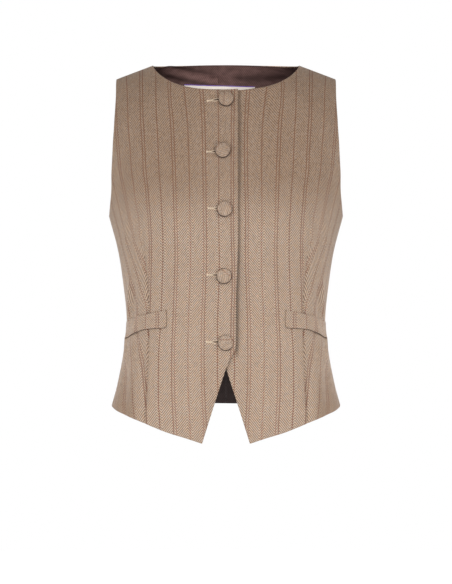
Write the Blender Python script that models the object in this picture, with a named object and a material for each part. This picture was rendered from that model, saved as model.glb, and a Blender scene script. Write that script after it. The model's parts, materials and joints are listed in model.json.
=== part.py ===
"""A fitted suit waistcoat with a pointed front, as worn: fronts, back and lining, flaps, label and buttons.

The origin lies between the two neck points of the shoulders. +X is the wearer's left, the front faces -Y
and +Z is up. Sizes in the tables are millimetres; a drop is measured down from the neck points.
"""
import math

import bmesh
import bpy
from mathutils import Vector

MM = 0.001

# Cloth and sewing
FRONT_WALL = 1.6
BACK_WALL = 1.2
LINING_WALL = 1.0
FLAP_WALL = 1.1
LABEL_WALL = 0.8
SEAM_GAP = 0.3
LINING_EASE = 0.9
LABEL_EASE = 0.8
FLAP_EASE = 0.5
BUTTON_EASE = 0.6

# Neck, shoulders and the rounding over them
NECK_HALF = 100.0
NECK_DEPTH_FRONT = 38.6
NECK_RISE_BACK = 5.2
SHOULDER_SLOPE = 0.384
SHOULDER_ROUND = 70.0
NECK_EASE = 25.0
UNDERARM_DROP = 208.0
BACK_HEM_DROP = 466.0

# The body form: half width, front depth and back depth of the level section at each drop
FORM = (
    (-10, 175.0, 78.0, 70.0),
    (40, 173.0, 84.0, 84.0),
    (100, 171.0, 99.0, 103.0),
    (150, 168.6, 110.0, 107.0),
    (180, 166.2, 114.8, 106.3),
    (208, 159.6, 117.0, 104.0),
    (252, 148.0, 112.0, 97.0),
    (296, 141.0, 101.0, 88.0),
    (351, 135.9, 91.0, 82.0),
    (395, 140.8, 90.3, 90.0),
    (439, 149.4, 91.0, 101.0),
    (466, 156.7, 92.2, 107.0),
    (530, 172.0, 95.5, 119.0),
)
SECTION_FULLNESS = 0.06
BUST_DROP = 208.0
BUST_TURN = math.radians(36)
BUST_LIFT = 8.0
BUST_SPREAD_TURN = math.radians(20)
BUST_SPREAD_DROP = 48.0

# Cut edges: drop, then how far out from the centre line
FRONT_EDGE = (
    (0, -15.9),
    (340, -15.9),
    (365, -15.9),
    (381.7, -12.0),
    (403, -4.6),
    (413.5, 0.3),
    (462, 16.1),
    (512.6, 32.0),
)
FRONT_ARMHOLE = ((18.9, 150.2), (47, 149.7), (80, 151.3), (145, 154.1), (177, 155.4), (198, 158.0), (208, 159.6))
BACK_ARMHOLE = ((18.9, 150.2), (47, 147.0), (80, 146.8), (145, 150.0), (177, 153.0), (198, 157.2), (208, 159.6))
FRONT_DART = ((0, 100.0), (110, 109.0), (235, 113.0), (286, 107.4), (340, 104.3), (402, 106.1), (486, 109.5))
BACK_DART = ((0, 100.0), (110, 96.0), (235, 88.0), (351, 80.0), (466, 86.0))

# Front hem: how far out from the centre line, then drop
FRONT_HEM = ((20, 516.5), (32, 512.6), (55, 505.2), (79.7, 497.8), (112, 485.3), (146, 472.2), (156.6, 466.0))
DART_TOP_DROP = 235.0
DART_DEPTH = 1.0
BACK_DART_TOP_DROP = 190.0
BACK_DART_DEPTH = 0.8

# The front that laps under is set back beneath the other one
LAP = 15.9
LAP_SET_BACK = FRONT_WALL + 0.6
LAP_BLEND = 26.0
LAP_END_DROP = 416.0
LAP_FADE = 55.0

# Pocket flaps
FLAP_INNER = 79.6
FLAP_TOP_DROP = 334.0
FLAP_DEPTH = 22.4
FLAP_SLOPE = 0.17
FLAP_CORNER = 2.2

# Covered buttons: drop and sideways offset of each
BUTTONS = ((52.3, 0.3), (122.2, -4.3), (200.0, -2.1), (289.0, -2.8), (378.0, -0.4))
BUTTON_STEPS = 24
BUTTON_PROFILE = ((0.0, 0.0), (8.8, 0.0), (9.8, 0.8), (9.9, 2.0), (8.9, 3.2), (6.3, 4.2), (3.2, 4.7), (0.0, 4.9))

# Neck label on the back lining
LABEL_LEFT = -59.2
LABEL_RIGHT = 41.0
LABEL_TOP_LEFT = 18.1
LABEL_TOP_RIGHT = 20.9
LABEL_DEPTH = 20.0

# Lining: set back from the shell's free edges, with a seam that leans to one side at the neck
LINING_INSET = 2.0
LINING_SEAM_LEAN = -11.0

# Grid of each sheet
FRONT_COLUMNS = (14, 9)
FRONT_ROWS = (15, 18)
BACK_COLUMNS = (7, 7)
BACK_ROWS = (13, 14)
FLAP_GRID = (14, 4)
LABEL_GRID = (16, 3)
ARMHOLE_ROUNDING = 0.6


def at(table, place):
    """The values of a table between its rows, on smooth curves."""
    last = len(table) - 1
    row = 0
    while row < last - 1 and table[row + 1][0] <= place:
        row += 1
    before, start, end, after = (table[min(max(row + step, 0), last)] for step in (-1, 0, 1, 2))
    span = end[0] - start[0]
    part = min(max((place - start[0]) / span, -0.5), 1.5)
    values = []
    for column in range(1, len(start)):
        lead = (end[column] - before[column]) / (end[0] - before[0]) * span
        tail = (after[column] - start[column]) / (after[0] - start[0]) * span
        rise = end[column] - start[column]
        bend = part * (1 - part)
        values.append(start[column] + rise * part + bend * ((lead - rise) * (1 - part) - (tail - rise) * part))
    return values[0] if len(values) == 1 else values


def eased(part):
    """Runs smoothly from 0 to 1."""
    part = min(max(part, 0.0), 1.0)
    return part * part * (3 - 2 * part)


def ridge_drop(out):
    """Drop of the shoulder ridge at a distance from the centre line, rounded across the neck."""
    soft = math.hypot(out, NECK_EASE) - (math.hypot(NECK_HALF, NECK_EASE) - NECK_HALF)
    return SHOULDER_SLOPE * (soft - NECK_HALF)


def fall(down):
    """Height lost after a way down from the ridge, over the rounded shoulder."""
    over = min(down / SHOULDER_ROUND, math.pi / 2)
    return SHOULDER_ROUND * (1 - math.cos(over)) + max(0.0, down - SHOULDER_ROUND * math.pi / 2)


def way_down(out, drop):
    """The way down from the ridge to a drop: the reverse of fall."""
    height = max(drop - ridge_drop(out), 0.0)
    if height < SHOULDER_ROUND:
        return SHOULDER_ROUND * math.acos(1 - height / SHOULDER_ROUND)
    return SHOULDER_ROUND * math.pi / 2 + height - SHOULDER_ROUND


def fullness(turn):
    return math.sin(turn) * (1 + SECTION_FULLNESS * math.sin(2 * turn) ** 2)


def form(turn, down):
    """A point of the body form: turn from the centre front, and the way down from the shoulder ridge."""
    sheer = math.sin(min(down / SHOULDER_ROUND, math.pi / 2))
    out = NECK_HALF
    drop = 0.0
    for _ in range(5):
        drop = fall(down) + ridge_drop(out)
        half, front, back = at(FORM, drop)
        out = half * fullness(turn)
    depth = front if math.cos(turn) > 0 else back
    deep = depth * math.cos(turn) * (1 + SECTION_FULLNESS * math.sin(2 * turn) ** 2)
    bust = ((abs(turn) - BUST_TURN) / BUST_SPREAD_TURN) ** 2 + ((drop - BUST_DROP) / BUST_SPREAD_DROP) ** 2
    deep += BUST_LIFT * math.exp(-bust / 2) if math.cos(turn) > 0 else 0.0
    return Vector((out, -deep * sheer, -drop))


def outward(turn, down):
    """The direction that the form faces at a point."""
    step = 0.002
    reach = 0.2
    around = form(turn + step, down) - form(turn - step, down)
    along = form(turn, down + reach) - form(turn, down - reach)
    return around.cross(along).normalized() * -1


def turn_at(out, drop, behind=False):
    """The turn at which the form is a given distance out from the centre line."""
    share = out / at(FORM, drop)[0]
    low, high = -math.pi / 2, math.pi / 2
    for _ in range(40):
        middle = (low + high) / 2
        if fullness(middle) < share:
            low = middle
        else:
            high = middle
    return math.pi - low if behind else low


def point_at(out, drop, behind=False):
    """Turn and way down of a place given by its distance out and its drop."""
    return Vector((turn_at(out, drop, behind), way_down(out, drop)))


def on_edge(table, down, behind=False, inset=0.0):
    """A point of a cut edge that a table gives as distance out against drop."""
    out = at(table, table[0][0])
    drop = 0.0
    for _ in range(6):
        drop = fall(down) + ridge_drop(out)
        out = at(table, drop) - inset
    return Vector((turn_at(out, drop, behind), down))


def side_seam(down, behind):
    """The side seam, half a gap from the side line of the form."""
    depth = at(FORM, fall(down))[2 if behind else 1]
    step = (SEAM_GAP / 2) / depth
    return Vector((math.pi / 2 + step if behind else math.pi / 2 - step, down))


def neckline(out, behind, inset=0.0):
    """The neckline, from the centre to the neck point of the shoulder."""
    share = min(abs(out) / NECK_HALF, 1.0)
    if behind:
        drop = -NECK_RISE_BACK * (1 - share * share)
    else:
        drop = NECK_DEPTH_FRONT * (1 - share ** 2.5) ** 0.68
    place = point_at(out, drop, behind)
    place.y = max(place.y + inset, SEAM_GAP)
    return place


def hem(turn, behind, rise=0.0):
    """The hem at a turn: level behind, running down to the points in front."""
    drop = BACK_HEM_DROP
    out = 0.0
    for _ in range(8):
        out = at(FORM, drop)[0] * fullness(turn)
        drop = BACK_HEM_DROP if behind else at(FRONT_HEM, out)
    return Vector((turn, way_down(out, drop - rise)))


def blended(u, v, top, bottom, left, right):
    """A point of the patch that its four edges span."""
    sides = left(v) * (1 - u) + right(v) * u
    ends = top(u) * (1 - v) + bottom(u) * v
    corners = (top(0) * (1 - u) + top(1) * u) * (1 - v) + (bottom(0) * (1 - u) + bottom(1) * u) * v
    return sides + ends - corners


def cloth(name, columns, rows, place, material):
    """A closed sheet of cloth on a grid: place gives each point of its face and of its reverse."""
    shape = bmesh.new()
    bmesh.ops.create_grid(shape, x_segments=columns, y_segments=rows, size=0.5)
    reverse = bmesh.ops.extrude_face_region(shape, geom=shape.faces[:], use_keep_orig=True)["geom"]
    for vert in (part for part in reverse if isinstance(part, bmesh.types.BMVert)):
        vert.co.z = -1.0
    for vert in shape.verts:
        column = round((vert.co.x + 0.5) * columns)
        row = round((vert.co.y + 0.5) * rows)
        vert.co = place(column, row, vert.co.z < -0.5)
    return finished(name, shape, material)


def finished(name, shape, material):
    """Closes a shape made in millimetres, facing out, as an object in metres."""
    bmesh.ops.recalc_face_normals(shape, faces=shape.faces[:])
    if shape.calc_volume(signed=True) < 0:
        bmesh.ops.reverse_faces(shape, faces=shape.faces[:])
    bmesh.ops.triangulate(shape, faces=shape.faces[:])
    bmesh.ops.scale(shape, vec=(MM, MM, MM), verts=shape.verts[:])
    for face in shape.faces:
        face.smooth = True
    mesh = bpy.data.meshes.new(name)
    shape.to_mesh(mesh)
    shape.free()
    mesh.materials.append(material)
    made = bpy.data.objects.new(name, mesh)
    bpy.context.scene.collection.objects.link(made)
    return made


def finish(name, colour, roughness):
    made = bpy.data.materials.new(name)
    made.use_nodes = True
    shader = made.node_tree.nodes["Principled BSDF"]
    shader.inputs["Base Color"].default_value = (*colour, 1.0)
    shader.inputs["Roughness"].default_value = roughness
    return made


def shown(turn, down, side, inward):
    """A point set in from the form's surface, on the wearer's left (side 1) or right (side -1)."""
    place = form(turn, down) - outward(turn, down) * inward
    return Vector((place.x * side, place.y, place.z))


def panel(name, side, behind, edges, parts, wall, set_in, material):
    """One half of the front, the back or the lining: a patch inside the dart line and one outside it."""
    centre, dart, armhole, neck, foot, crease = edges
    (inner_columns, outer_columns), (upper_rows, lower_rows) = parts
    total = upper_rows + lower_rows
    arm_down = way_down(at(armhole, UNDERARM_DROP), UNDERARM_DROP)
    neck_point = neck(1.0)
    shoulder_tip = on_edge(armhole, neck_point.y, behind)
    seam = side_seam(arm_down, behind).x
    front_point = foot(None)
    dart_foot = foot(turn_at(dart[-1][1], dart[-1][0], behind))
    side_foot = foot(seam)

    def row_down(v, top, bottom):
        """Ways down of the grid's rows: level at the underarm and closer above it, to round the armhole."""
        row = v * total
        if row <= upper_rows:
            part = row / upper_rows
            return top + (arm_down - top) * part * (1 + ARMHOLE_ROUNDING * (1 - part))
        return arm_down + (bottom - arm_down) * (row - upper_rows) / lower_rows

    def centre_line(v):
        return centre(row_down(v, neck(0.0).y, front_point.y))

    def dart_line(v):
        return on_edge(dart, row_down(v, neck_point.y, dart_foot.y), behind)

    def side_line(v):
        down = row_down(v, neck_point.y, side_foot.y)
        if v * total > upper_rows:
            return side_seam(down, behind)
        edge = on_edge(armhole, down, behind)
        return Vector((max(edge.x, seam) if behind else min(edge.x, seam), down))

    def shoulder(u):
        return neck_point.lerp(shoulder_tip, u)

    def hem_inside(u):
        return foot(front_point.x * (1 - u) + dart_foot.x * u)

    def hem_outside(u):
        return foot(dart_foot.x * (1 - u) + side_foot.x * u)

    def place(column, row, reverse):
        v = 1 - row / total
        if column <= inner_columns:
            spot = blended(column / inner_columns, v, neck, hem_inside, centre_line, dart_line)
        else:
            u = (column - inner_columns) / outer_columns
            spot = blended(u, v, shoulder, hem_outside, dart_line, side_line)
        drop = -form(spot.x, spot.y).z
        dent = crease(drop) if column == inner_columns else 0.0
        return shown(spot.x, spot.y, side, set_in(spot, drop) + dent + (wall if reverse else 0.0))

    return cloth(name, inner_columns + outer_columns, total, place, material)


def front_panel(name, side, material, laps_over):
    """A front, closed by its dart; the one that laps under is set back beneath the other's edge."""
    neck_out = FRONT_EDGE[0][1]
    point_drop, point_out = FRONT_EDGE[-1]

    def neck(u):
        return neckline(neck_out + (NECK_HALF - neck_out) * math.sin(u * math.pi / 2), False)

    def centre(down):
        return on_edge(FRONT_EDGE, down)

    def foot(turn):
        return hem(turn_at(point_out, point_drop) if turn is None else turn, False)

    def crease(drop):
        return DART_DEPTH * eased((drop - DART_TOP_DROP) / 40)

    def set_in(spot, drop):
        if laps_over:
            return 0.0
        out = form(spot.x, spot.y).x
        near = 1 - eased((out - LAP - 1.5) / LAP_BLEND)
        return LAP_SET_BACK * near * (1 - eased((drop - LAP_END_DROP) / LAP_FADE))

    edges = (centre, FRONT_DART, FRONT_ARMHOLE, neck, foot, crease)
    return panel(name, side, False, edges, (FRONT_COLUMNS, FRONT_ROWS), FRONT_WALL, set_in, material)


def back_panel(name, side, material, lining):
    """A back, or the lining inside it, which stops short of the free edges and leans at the neck."""
    inset = LINING_INSET if lining else 0.0
    depth = BACK_WALL + LINING_EASE if lining else 0.0
    lean = LINING_SEAM_LEAN if lining else 0.0

    def centre_turn(down):
        share = 1 - min(fall(down) / BACK_HEM_DROP, 1.0)
        step = SEAM_GAP / 2 + lean * side * share
        return math.pi - step / at(FORM, fall(down))[0]

    def neck(u):
        ends = centre_turn(way_down(0.0, -NECK_RISE_BACK)), turn_at(NECK_HALF, 0.0, True)
        turn = ends[0] + (ends[1] - ends[0]) * u
        out = at(FORM, 0.0)[0] * fullness(turn)
        return Vector((turn, neckline(min(out, NECK_HALF), True, inset).y))

    def centre(down):
        return Vector((centre_turn(down), down))

    def foot(turn):
        return hem(centre_turn(BACK_HEM_DROP) if turn is None else turn, True, inset)

    def crease(drop):
        return BACK_DART_DEPTH * eased((drop - BACK_DART_TOP_DROP) / 60)

    def set_in(spot, drop):
        return depth

    armhole = tuple((drop, out - inset * (drop < UNDERARM_DROP - 5)) for drop, out in BACK_ARMHOLE)
    edges = (centre, BACK_DART, armhole, neck, foot, crease)
    wall = LINING_WALL if lining else BACK_WALL
    return panel(name, side, True, edges, (BACK_COLUMNS, BACK_ROWS), wall, set_in, material)


def flap(name, side, material):
    """A pocket flap from inside the dart to the side seam, lying on the front and falling towards the side."""
    columns, rows = FLAP_GRID
    level = way_down(NECK_HALF, FLAP_TOP_DROP + FLAP_DEPTH)
    start = turn_at(FLAP_INNER, FLAP_TOP_DROP + FLAP_DEPTH / 2)
    end = side_seam(level, False).x
    turns = [start + (end - start) * column / columns for column in range(columns + 1)]
    ring = [form(turn, level) for turn in turns]
    runs = [0.0]
    for before, after in zip(ring, ring[1:]):
        runs.append(runs[-1] + (after - before).length)

    def place(column, row, reverse):
        turn = turns[column]
        corner = FLAP_CORNER if column == 0 and row == 0 else 0.0
        drop = FLAP_TOP_DROP + FLAP_SLOPE * runs[column] + FLAP_DEPTH * (1 - row / rows) - corner
        lift = FLAP_EASE + (0.0 if reverse else FLAP_WALL)
        return shown(turn, way_down(at(FORM, drop)[0] * fullness(turn), drop), side, -lift)

    return cloth(name, columns, rows, place, material)


def button(name, drop, offset, material):
    """A cloth-covered button on the front that laps over, its back just off the cloth's curve."""
    turn = turn_at(-offset, drop)
    down = way_down(offset, drop)
    facing = outward(turn, down)
    facing.x *= -1
    seat = shown(turn, down, -1, -BUTTON_EASE)
    shape = bmesh.new()
    verts = [shape.verts.new((radius, 0.0, height)) for radius, height in BUTTON_PROFILE]
    edges = [shape.edges.new(pair) for pair in zip(verts, verts[1:])]
    bmesh.ops.spin(
        shape, geom=verts + edges, axis=(0, 0, 1), angle=math.tau, steps=BUTTON_STEPS, use_merge=True
    )
    bmesh.ops.remove_doubles(shape, verts=shape.verts[:], dist=0.001)
    stand = facing.to_track_quat("Z", "Y").to_matrix()
    for vert in shape.verts:
        vert.co = seat + stand @ vert.co
    return finished(name, shape, material)


def neck_label(name, material):
    """A bare woven strip sewn across the lining below the back neck."""
    columns, rows = LABEL_GRID
    inside = BACK_WALL + LINING_EASE + LINING_WALL + LABEL_EASE

    def place(column, row, reverse):
        share = column / columns
        out = LABEL_LEFT + (LABEL_RIGHT - LABEL_LEFT) * share
        drop = LABEL_TOP_LEFT + (LABEL_TOP_RIGHT - LABEL_TOP_LEFT) * share + LABEL_DEPTH * (1 - row / rows)
        turn = turn_at(abs(out), drop, True)
        side = 1 if out >= 0 else -1
        return shown(turn, way_down(out, drop), side, inside + (LABEL_WALL if reverse else 0.0))

    return cloth(name, columns, rows, place, material)


for old in list(bpy.data.objects):
    bpy.data.objects.remove(old, do_unlink=True)

suiting = finish("suiting", (0.42, 0.33, 0.26), 0.85)
suiting_back = finish("suiting_back", (0.40, 0.31, 0.25), 0.85)
satin = finish("lining_satin", (0.07, 0.045, 0.04), 0.4)
woven_label = finish("woven_label", (0.80, 0.76, 0.70), 0.7)
button_cloth = finish("button_cloth", (0.40, 0.31, 0.25), 0.8)

front_panel("front_right", -1, suiting, True)
front_panel("front_left", 1, suiting, False)
back_panel("back_right", -1, suiting_back, False)
back_panel("back_left", 1, suiting_back, False)
back_panel("lining_right", -1, satin, True)
back_panel("lining_left", 1, satin, True)
flap("flap_right", -1, suiting)
flap("flap_left", 1, suiting)
neck_label("neck_label", woven_label)
for number, (drop, offset) in enumerate(BUTTONS, start=1):
    button(f"button_{number}", drop, offset, button_cloth)
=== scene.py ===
import json
import math

import bmesh
import bpy
import numpy as np
from mathutils import Matrix, Vector

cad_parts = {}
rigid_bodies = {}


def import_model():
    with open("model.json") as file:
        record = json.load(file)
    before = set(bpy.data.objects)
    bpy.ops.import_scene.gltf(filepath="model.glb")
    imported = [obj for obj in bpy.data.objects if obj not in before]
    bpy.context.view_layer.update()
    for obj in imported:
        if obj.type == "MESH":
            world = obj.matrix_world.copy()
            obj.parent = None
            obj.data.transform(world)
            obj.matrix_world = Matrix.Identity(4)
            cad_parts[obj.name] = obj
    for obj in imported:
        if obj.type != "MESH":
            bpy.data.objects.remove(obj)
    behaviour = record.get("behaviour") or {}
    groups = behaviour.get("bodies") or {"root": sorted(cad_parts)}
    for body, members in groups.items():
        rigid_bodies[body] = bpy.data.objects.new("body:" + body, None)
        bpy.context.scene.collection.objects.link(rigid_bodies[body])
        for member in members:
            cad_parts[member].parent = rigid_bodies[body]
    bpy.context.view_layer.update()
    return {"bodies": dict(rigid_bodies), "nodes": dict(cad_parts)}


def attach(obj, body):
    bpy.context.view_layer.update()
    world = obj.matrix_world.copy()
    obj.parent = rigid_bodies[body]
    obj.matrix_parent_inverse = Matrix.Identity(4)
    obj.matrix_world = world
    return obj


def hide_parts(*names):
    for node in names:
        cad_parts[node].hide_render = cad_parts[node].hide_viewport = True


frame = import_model()

for old in list(bpy.data.objects):
    if old not in list(frame["bodies"].values()) + list(frame["nodes"].values()):
        bpy.data.objects.remove(old, do_unlink=True)

# ---------------------------- The fronts
# Two fronts of striped herringbone suiting, each one cut piece closed by a long dart from the bust to the
# hem. They are lined, turned in at every free edge, and the wearer's right one laps over the left one.

# Sizes are in millimetres, and a drop is measured down from the neck points of the shoulders
MM = 0.001
# The wearer's right lies towards -X
SIDES = (("right", -1), ("left", 1))
FRONT_WALL = 1.6
SEAM_GAP = -0.1
NECK_HALF = 100.0
NECK_DEPTH_FRONT = 38.6
NECK_CURVE = (2.95, 0.7)
NECK_RISE_BACK = 5.2
SHOULDER_SLOPE = 0.384
SHOULDER_ROUND = 70.0
NECK_EASE = 25.0
UNDERARM_DROP = 208.0
BACK_HEM_DROP = 466.0

# The worn form: half width, front depth and back depth of the level section at each drop
FORM = (
    (-10, 175.0, 78.0, 70.0),
    (40, 173.0, 84.0, 84.0),
    (100, 171.0, 99.0, 103.0),
    (150, 168.6, 110.0, 107.0),
    (180, 166.2, 114.8, 106.3),
    (208, 159.6, 117.0, 104.0),
    (252, 148.0, 112.0, 97.0),
    (296, 141.0, 101.0, 88.0),
    (351, 135.9, 91.0, 82.0),
    (395, 140.8, 90.3, 90.0),
    (439, 149.4, 91.0, 101.0),
    (466, 156.7, 92.2, 107.0),
    (530, 172.0, 95.5, 119.0),
)
SECTION_FULLNESS = 0.06
BUST_DROP = 208.0
BUST_TURN = math.radians(36)
BUST_LIFT = 8.0
BUST_SPREAD_TURN = math.radians(20)
BUST_SPREAD_DROP = 48.0

# Rounds after which a point found by trial lies still
FORM_ROUNDS = 5
EDGE_ROUNDS = 6
HEM_ROUNDS = 8
TURN_HALVINGS = 40

# Cut edges: drop, then how far out from the centre line. The hem is given the other way round
FRONT_EDGE = (
    (0, -15.9), (225, -15.9), (262, -15.5), (300, -14.2), (325, -13.4), (378, -13.2), (386, -12.1),
    (391.5, -10.4), (396, -7.4), (400, -4.9), (405, -3.2), (413.5, 0.3), (462, 16.1), (512.6, 32.0),
)
FRONT_ARMHOLE = (
    (18.9, 150.2), (47, 149.7), (80, 151.3), (145, 154.1), (177, 155.4), (198, 158.0), (208, 159.6),
)
FRONT_DART = ((0, 100.0), (110, 109.0), (235, 113.0), (286, 107.4), (340, 104.3), (402, 106.1), (486, 109.5))
FRONT_HEM = (
    (20, 516.5), (32, 512.6), (55, 505.2), (79.7, 497.8), (112, 485.3), (146, 472.2), (156.6, 466.0),
)
UPPER_SHARE = 15 / 33
ARMHOLE_ROUNDING = 0.6

# The front that laps under is set back beneath the other one, whose edge stands off a little
LAP = 15.9
LAP_SET_BACK = FRONT_WALL + 1.4
LAP_MARGIN = 1.5
LAP_BLEND = 26.0
LAP_END = (416.0, 55.0)
EDGE_LIFT = (
    (30, 2.0), (120, 1.9), (190, 1.4), (250, 1.7), (300, 2.9), (350, 3.4), (385, 2.6), (402, 1.6), (420, 0.0),
)
EDGE_LIFT_WIDTH = 6.5

# Soft ridges (and troughs, with a rise below 0): width and drop of both ends, half width, and rise
FRONT_FOLDS = (
    (151, 298, 158, 350, 4.0, 3.0),
    (139, 296, 143, 346, 5.0, -2.0),
    (148, 214, 161, 257, 5.0, 1.4),
    (168, 366, 152, 404, 5.5, 2.6),
    (132, 358, 128, 400, 6.0, -1.8),
    (117, 372, 110, 458, 5.5, -2.0),
    (152, 412, 140, 478, 10.0, -3.4),
    (121, 221, 120, 237, 2.6, -1.2),
    (118, 204, 134, 224, 7.0, -2.0),
    (136, 226, 122, 262, 7.0, -1.2),
    (18, 196, 108, 199, 15.0, 1.6),
    (166, 96, 174, 160, 6.0, 0.9),
    (60, 392, 64, 500, 14.0, -0.5),
    (88, 385, 92, 490, 11.0, 0.6),
    (22, 292, 74, 301, 6.0, 0.3),
)
LAP_RIPPLES = (
    (-12, 66, 26, 62, 3.6, 0.7),
    (-12, 76, 24, 72, 4.0, -0.9),
    (-12, 92, 26, 90, 4.5, 1.0),
    (-12, 106, 22, 104, 4.5, -0.7),
    (-13, 150, 18, 146, 5.0, 0.5),
    (-13, 240, 20, 246, 6.0, 0.5),
    (-13, 330, 16, 334, 6.0, 0.5),
)
# The share of its length over which a ridge rises at each end
FOLD_FADE = 0.4

# The dart: where it opens, its groove on a front of that radius, and the cloth it takes in at each drop
DART_OPENS = (235.0, 40.0)
DART_DEPTH = 2.6
DART_HALF = 1.4
FRONT_RADIUS = 120.0
DART_INTAKE = (
    (150, 0.0), (190, 3.0), (220, 6.0), (251, 14.5), (271, 26.0), (287, 34.5), (308, 43.5), (327, 53.0),
    (367, 59.5), (405, 72.5), (440, 78.5), (480, 83.5), (530, 86.0),
)
# The grain parts at the dart line below the first drop, and beyond the first width above it
GRAIN_PARTS_DROP = (236.0, 24.0)
GRAIN_PARTS_WIDTH = (121.0, 26.0)

# How the grain drifts from the level width of the form: drop, share of the width near the centre and
# farther out, and shift
GRAIN = (
    (0, 0.84, 0.872, 0.0), (36, 0.835, 0.897, 0.0), (54, 0.870, 0.911, 0.0), (86, 0.925, 0.933, 0.0),
    (115, 0.945, 0.947, 0.0), (150, 0.970, 0.964, 0.0), (172, 0.976, 0.988, 0.0), (204, 0.982, 1.002, 0.0),
    (262, 1.0, 1.0, 0.0), (300, 1.0, 1.0, -1.2), (345, 1.0, 1.0, -3.0), (428, 1.0, 1.0, -3.0),
    (494, 1.0, 1.0, 0.0), (530, 1.0, 1.0, 0.0),
)
FARTHER_OUT = (60.0, 35.0)
# The stripes of the front on top lean out at its edge, and those of the one beneath lie farther out
LAP_LEAN = 0.12
LAP_LEAN_WIDTH = 20.0
LAP_LEAN_ENDS = (220.0, 100.0)
UNDER_SHIFT = 2.8
UNDER_SHIFT_DROP = (90.0, 150.0)
UNDER_SHIFT_WIDTH = (40.0, 35.0)

# Divisions of a front inside and outside the dart line, and above and below the underarm
FRONT_COLUMNS = (44, 30)
FRONT_ROWS = (76, 104)
PANEL_WIDTHS = (120.0, 75.0)
PANEL_LENGTHS = (200.0, 280.0)
# Narrow steps in from a turned edge, and the share of the wall that the two outermost rings turn in
EDGE_STEPS = (0.0, 0.9, 2.2)
EDGE_ROLL = (0.36, 0.07)
# Columns of suiting that are turned in on the reverse
TURNED_IN = 10


def at(table, place):
    """The values of a table between its rows, on smooth curves."""
    rows = np.array(table, float)
    place = np.asarray(place, float)
    last = len(rows) - 1
    first = np.clip(np.searchsorted(rows[:, 0], place, side="right") - 1, 0, last - 1)
    before, start, end, after = (rows[np.clip(first + step, 0, last)] for step in (-1, 0, 1, 2))
    span = (end - start)[..., :1]
    part = np.clip((place[..., None] - start[..., :1]) / span, -0.5, 1.5)
    lead = (end - before) / (end - before)[..., :1] * span
    tail = (after - start) / (after - start)[..., :1] * span
    rise = end - start
    value = start + rise * part + part * (1 - part) * ((lead - rise) * (1 - part) - (tail - rise) * part)
    return value[..., 1] if rows.shape[1] == 2 else np.moveaxis(value[..., 1:], -1, 0)


def within(table, place):
    """A place, held between the first and the last row of a table."""
    return np.clip(place, table[0][0], table[-1][0])


def eased(part):
    """Runs smoothly from 0 to 1."""
    part = np.clip(part, 0.0, 1.0)
    return part * part * (3 - 2 * part)


def passed(place, start, span):
    """Runs smoothly from 0 to 1 as a place passes a span."""
    return eased((place - start) / span)


def ridge_drop(out):
    """The drop of the shoulder ridge at a distance out."""
    soft = np.hypot(out, NECK_EASE) - (math.hypot(NECK_HALF, NECK_EASE) - NECK_HALF)
    return SHOULDER_SLOPE * (soft - NECK_HALF)


def fall(down):
    """How far a way down over the rounded shoulder falls."""
    over = np.minimum(down / SHOULDER_ROUND, math.pi / 2)
    return SHOULDER_ROUND * (1 - np.cos(over)) + np.maximum(0.0, down - SHOULDER_ROUND * math.pi / 2)


def way_down(out, drop):
    """The way down from the ridge to a drop."""
    height = np.maximum(drop - ridge_drop(out), 0.0)
    near = SHOULDER_ROUND * np.arccos(np.clip(1 - height / SHOULDER_ROUND, -1.0, 1.0))
    return np.where(height < SHOULDER_ROUND, near, SHOULDER_ROUND * math.pi / 2 + height - SHOULDER_ROUND)


def fullness(turn):
    """How far out the level section reaches at a turn, as a share of its half width."""
    return np.sin(turn) * (1 + SECTION_FULLNESS * np.sin(2 * turn) ** 2)


def form(turn, down):
    """Points of the worn form: turn from the centre front, and the way down from the shoulder ridge."""
    turn, down = np.broadcast_arrays(np.asarray(turn, float), np.asarray(down, float))
    sheer = np.sin(np.minimum(down / SHOULDER_ROUND, math.pi / 2))
    out = np.full(turn.shape, NECK_HALF)
    for _ in range(FORM_ROUNDS):
        drop = fall(down) + ridge_drop(out)
        half, front, back = at(FORM, drop)
        out = half * fullness(turn)
    ahead = np.cos(turn) > 0
    deep = np.where(ahead, front, back) * np.cos(turn) * (1 + SECTION_FULLNESS * np.sin(2 * turn) ** 2)
    bust = ((np.abs(turn) - BUST_TURN) / BUST_SPREAD_TURN) ** 2 + ((drop - BUST_DROP) / BUST_SPREAD_DROP) ** 2
    deep = deep + np.where(ahead, BUST_LIFT * np.exp(-bust / 2), 0.0)
    return np.stack((out, -deep * sheer, -drop), -1)


def slopes(turn, down, turn_step, down_step):
    """Steps along the form, around it and down it."""
    around = form(turn + turn_step, down) - form(turn - turn_step, down)
    along = form(turn, down + down_step) - form(turn, down - down_step)
    return around, along


def outward(turn, down):
    """The direction that the form faces."""
    facing = -np.cross(*slopes(turn, down, 0.002, 0.2))
    return facing / np.linalg.norm(facing, axis=-1, keepdims=True)


def width_to(turn, down, start):
    """Width of cloth from a turn to a point, square to the way down."""
    step = 0.01
    total = np.zeros(np.broadcast(turn, down).shape)
    for place, weight in zip(*np.polynomial.legendre.leggauss(8)):
        between = start + (turn - start) * (place + 1) / 2
        around, along = slopes(between, down, step, 0.5)
        along = along / np.linalg.norm(along, axis=-1, keepdims=True)
        square = np.linalg.norm(np.cross(around / (2 * step), along), axis=-1)
        total = total + square * (turn - start) / 2 * weight
    return total


def turn_at(out, drop, behind=False):
    """The turn at which the form is a given distance out from the centre line."""
    share = np.asarray(out / at(FORM, drop)[0])
    low, high = np.full(share.shape, -math.pi / 2), np.full(share.shape, math.pi / 2)
    for _ in range(TURN_HALVINGS):
        middle = (low + high) / 2
        under = fullness(middle) < share
        low, high = np.where(under, middle, low), np.where(under, high, middle)
    return math.pi - low if behind else low


def spot(turn, down):
    return np.stack(np.broadcast_arrays(np.asarray(turn, float), np.asarray(down, float)), -1)


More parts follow.
